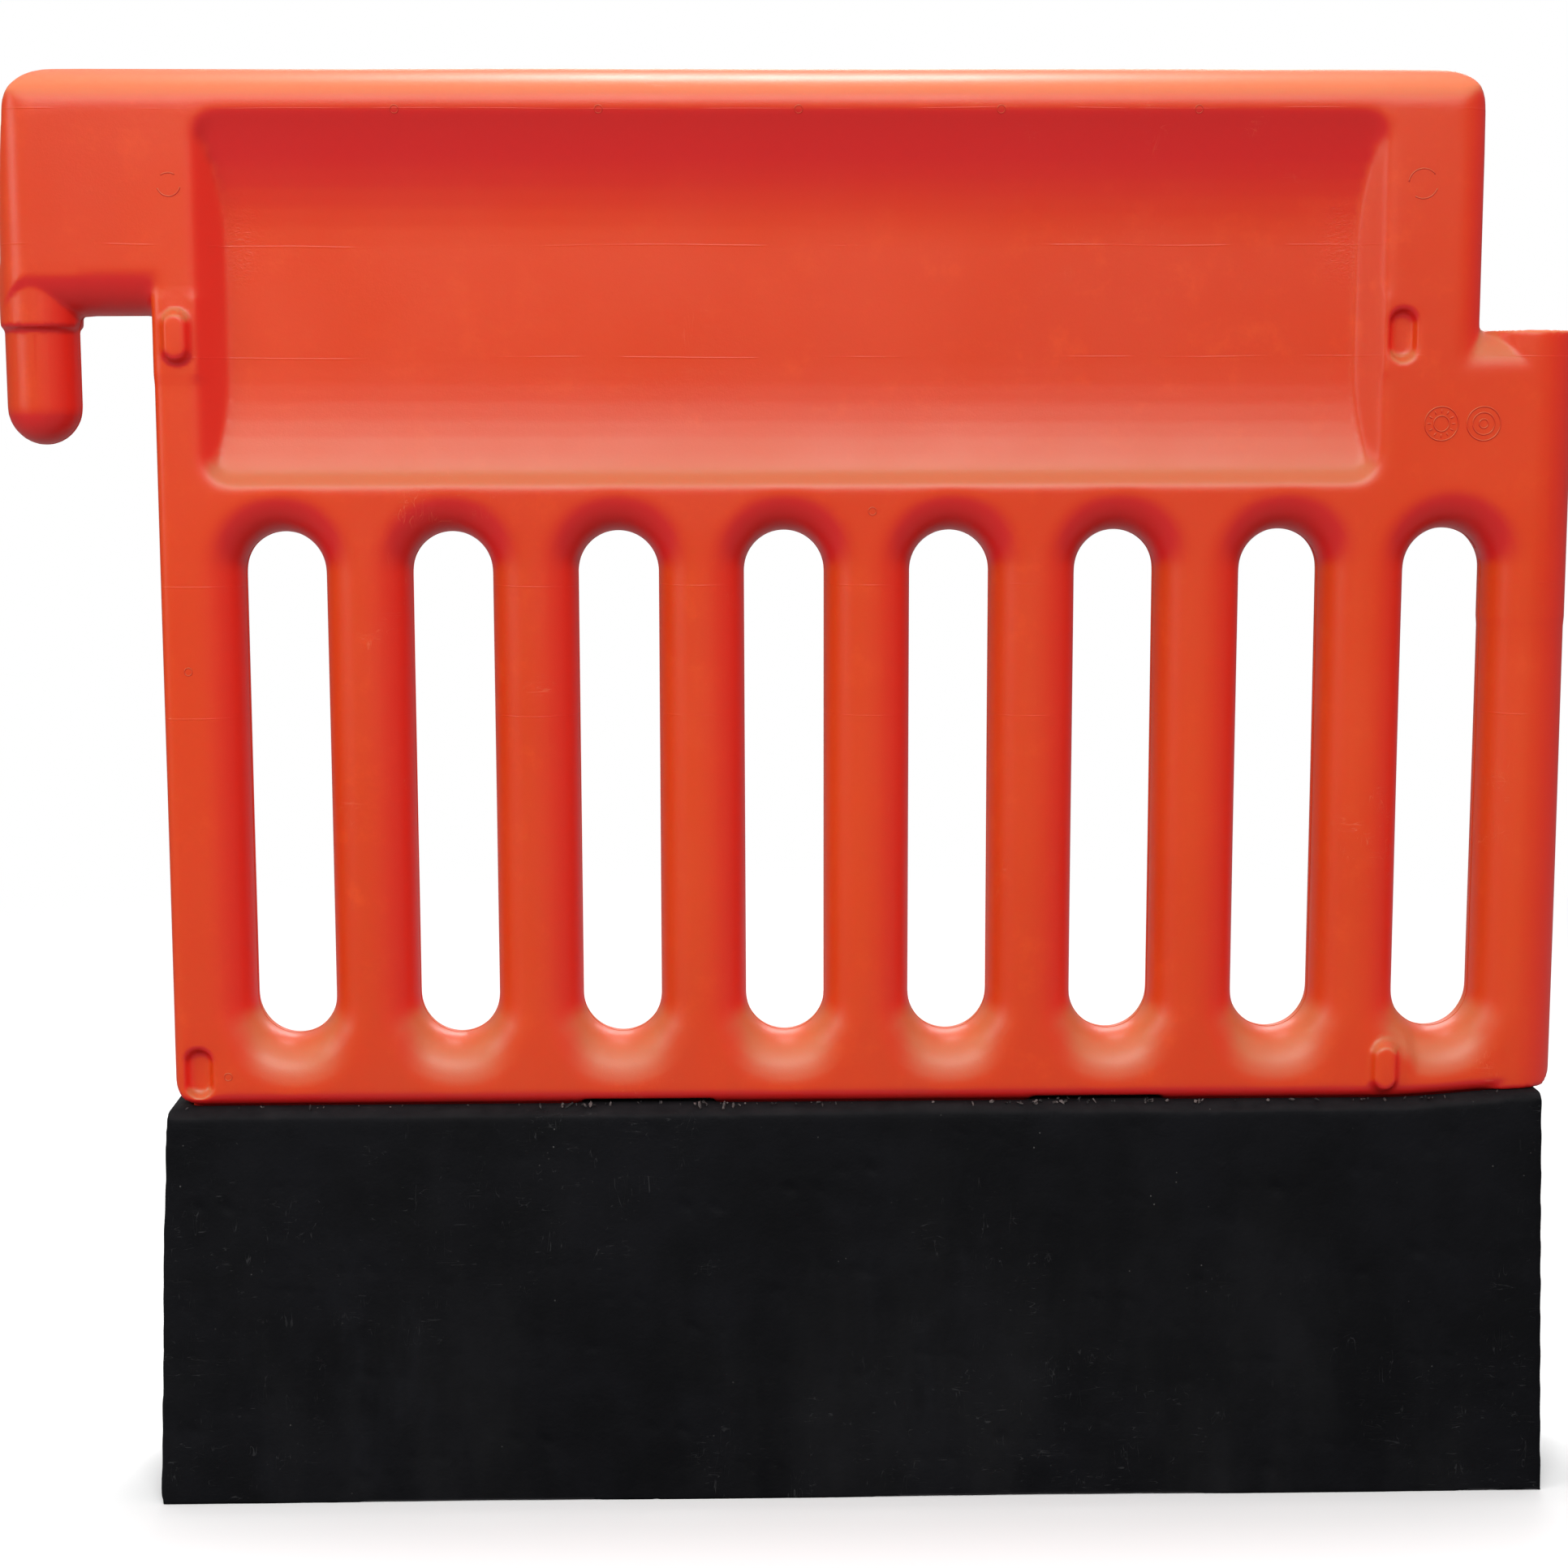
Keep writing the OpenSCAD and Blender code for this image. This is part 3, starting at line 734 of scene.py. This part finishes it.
# ---------------------------------------------------------------- hidden fixings
# Six zinc-plated bolts and washers stand in the base's counterbores, on steel sleeves that
# stop the rubber creeping, and screw into brass inserts moulded into the skirt's floor.


def worked_metal(name, bright, dull, stain, roughness):
    material, tree, shader, where = new_material(name)
    tone = blend_colour(tree, ramp(tree, noise(tree, where, 160, 5.0, 0.65), 0.35, 0.7), bright, dull)
    scratch = use_effect(tree, scuffs, Cover=1.1)["Mask"]
    tone = blend_colour(tree, arithmetic(tree, "MULTIPLY", scratch, 0.4), tone, bright)
    dirt = use_effect(tree, dust, Reach=0.5, Amount=0.7)["Mask"]
    tone = blend_colour(tree, dirt, tone, stain)
    tree.links.new(tone, shader.inputs["Base Color"])
    shader.inputs["Metallic"].default_value = 1.0
    rough = arithmetic(tree, "MULTIPLY_ADD", noise(tree, where, 240, 4.0), 0.3, roughness)
    rough = arithmetic(tree, "ADD", rough, arithmetic(tree, "MULTIPLY", dirt, 0.3))
    tree.links.new(rough, shader.inputs["Roughness"])
    bump(tree, shader, use_effect(tree, grain, Scale=1500.0)["Height"], 0.03 * MM)
    return material


zinc = worked_metal(
    "zinc_plated_steel", (0.62, 0.64, 0.66, 1), (0.44, 0.46, 0.48, 1), (0.16, 0.13, 0.10, 1), 0.26)
brass = worked_metal(
    "insert_brass", (0.72, 0.52, 0.22, 1), (0.52, 0.36, 0.15, 1), (0.15, 0.11, 0.06, 1), 0.28)
for node, metal in (
    ("fixing_bolts", zinc), ("bolt_washers", zinc),
    ("compression_sleeves", zinc), ("threaded_inserts", brass),
):
    finish_with(frame["nodes"][node], metal)

# ---------------------------------------------------------------- stage, light, camera
bpy.ops.mesh.primitive_plane_add(size=30, location=(0, 0, -0.0002))
floor = bpy.context.active_object
floor.name = "floor"
floor_finish, tree, shader, where = new_material("studio_floor")
shader.inputs["Base Color"].default_value = (0.92, 0.92, 0.92, 1)
shader.inputs["Roughness"].default_value = 0.95
# The floor fades out to white, and gives little light back to the underside of the part.
distance = add_node(tree, "ShaderNodeVectorMath", operation="LENGTH")
tree.links.new(where, distance.inputs[0])
far_floor = tree.nodes.new("ShaderNodeEmission")
faded = tree.nodes.new("ShaderNodeMixShader")
tree.links.new(ramp(tree, distance.outputs["Value"], 0.5, 2.6), faded.inputs["Fac"])
join(tree, shader, "BSDF", faded, 1)
join(tree, far_floor, "Emission", faded, 2)
bounce = add_node(tree, "ShaderNodeBsdfDiffuse", {"Color": (0.25, 0.25, 0.25, 1)})
seen = tree.nodes.new("ShaderNodeMixShader")
join(tree, tree.nodes.new("ShaderNodeLightPath"), "Is Camera Ray", seen, "Fac")
join(tree, bounce, "BSDF", seen, 1)
join(tree, faded, "Shader", seen, 2)
join(tree, seen, "Shader", tree.nodes["Material Output"], "Surface")
finish_with(floor, floor_finish)

# A white studio, whose light comes mostly from overhead.
world = bpy.data.worlds.new("studio")
bpy.context.scene.world = world
world.use_nodes = True
tree = world.node_tree
sky = tree.nodes["Background"]
sky_place = add_node(tree, "ShaderNodeSeparateXYZ")
join(tree, tree.nodes.new("ShaderNodeTexCoord"), "Generated", sky_place, 0)
overhead = ramp(tree, sky_place.outputs["Z"], -0.15, 0.9)
tree.links.new(arithmetic(tree, "MULTIPLY_ADD", overhead, 0.77, 0.08), sky.inputs["Strength"])
sky.inputs["Color"].default_value = (1, 1, 1, 1)
white_wall = add_node(tree, "ShaderNodeBackground", {"Color": (1, 1, 1, 1), "Strength": 1.0})
seen = tree.nodes.new("ShaderNodeMixShader")
join(tree, tree.nodes.new("ShaderNodeLightPath"), "Is Camera Ray", seen, "Fac")
join(tree, sky, "Background", seen, 1)
join(tree, white_wall, "Background", seen, 2)
join(tree, seen, "Shader", tree.nodes["World Output"], "Surface")
bpy.context.scene.view_settings.view_transform = "Standard"


def soft_box(name, place, aim, size, power):
    data = bpy.data.lights.new(name, "AREA")
    data.shape = "RECTANGLE"
    data.size, data.size_y = size
    data.energy = power
    light = bpy.data.objects.new(name, data)
    bpy.context.scene.collection.objects.link(light)
    light.location = place
    light.rotation_euler = (Vector(aim) - Vector(place)).to_track_quat("-Z", "Y").to_euler()
    return light


soft_box("overhead_box", (0.0, 0.25, 2.7), (0, 0, 0.8), (0.8, 0.45), 36)
soft_box("high_front_bank", (-0.1, -3.0, 2.5), (0, 0, 0.55), (3.0, 1.1), 78)
soft_box("rear_bank", (0.4, 3.0, 2.2), (0, 0, 0.5), (2.6, 1.0), 46)
soft_box("left_bank", (-2.8, -1.6, 1.4), (0, 0, 0.6), (1.0, 1.2), 22)

eye = Vector((-0.0469, -1.8822, 0.7388))
yaw, pitch, roll = math.radians(1.231), math.radians(-7.651), math.radians(-0.124)
forward = Vector((math.sin(yaw) * math.cos(pitch), math.cos(yaw) * math.cos(pitch), math.sin(pitch)))
level_right = Vector((math.cos(yaw), -math.sin(yaw), 0))
level_up = level_right.cross(forward)
right = math.cos(roll) * level_right + math.sin(roll) * level_up
up = -math.sin(roll) * level_right + math.cos(roll) * level_up
cam_data = bpy.data.cameras.new("camera")
cam_data.sensor_width = 36
cam_data.lens = 63.27
camera = bpy.data.objects.new("camera", cam_data)
bpy.context.scene.collection.objects.link(camera)
camera.matrix_world = Matrix.Translation(eye) @ Matrix((right, up, -forward)).transposed().to_4x4()
bpy.context.scene.camera = camera
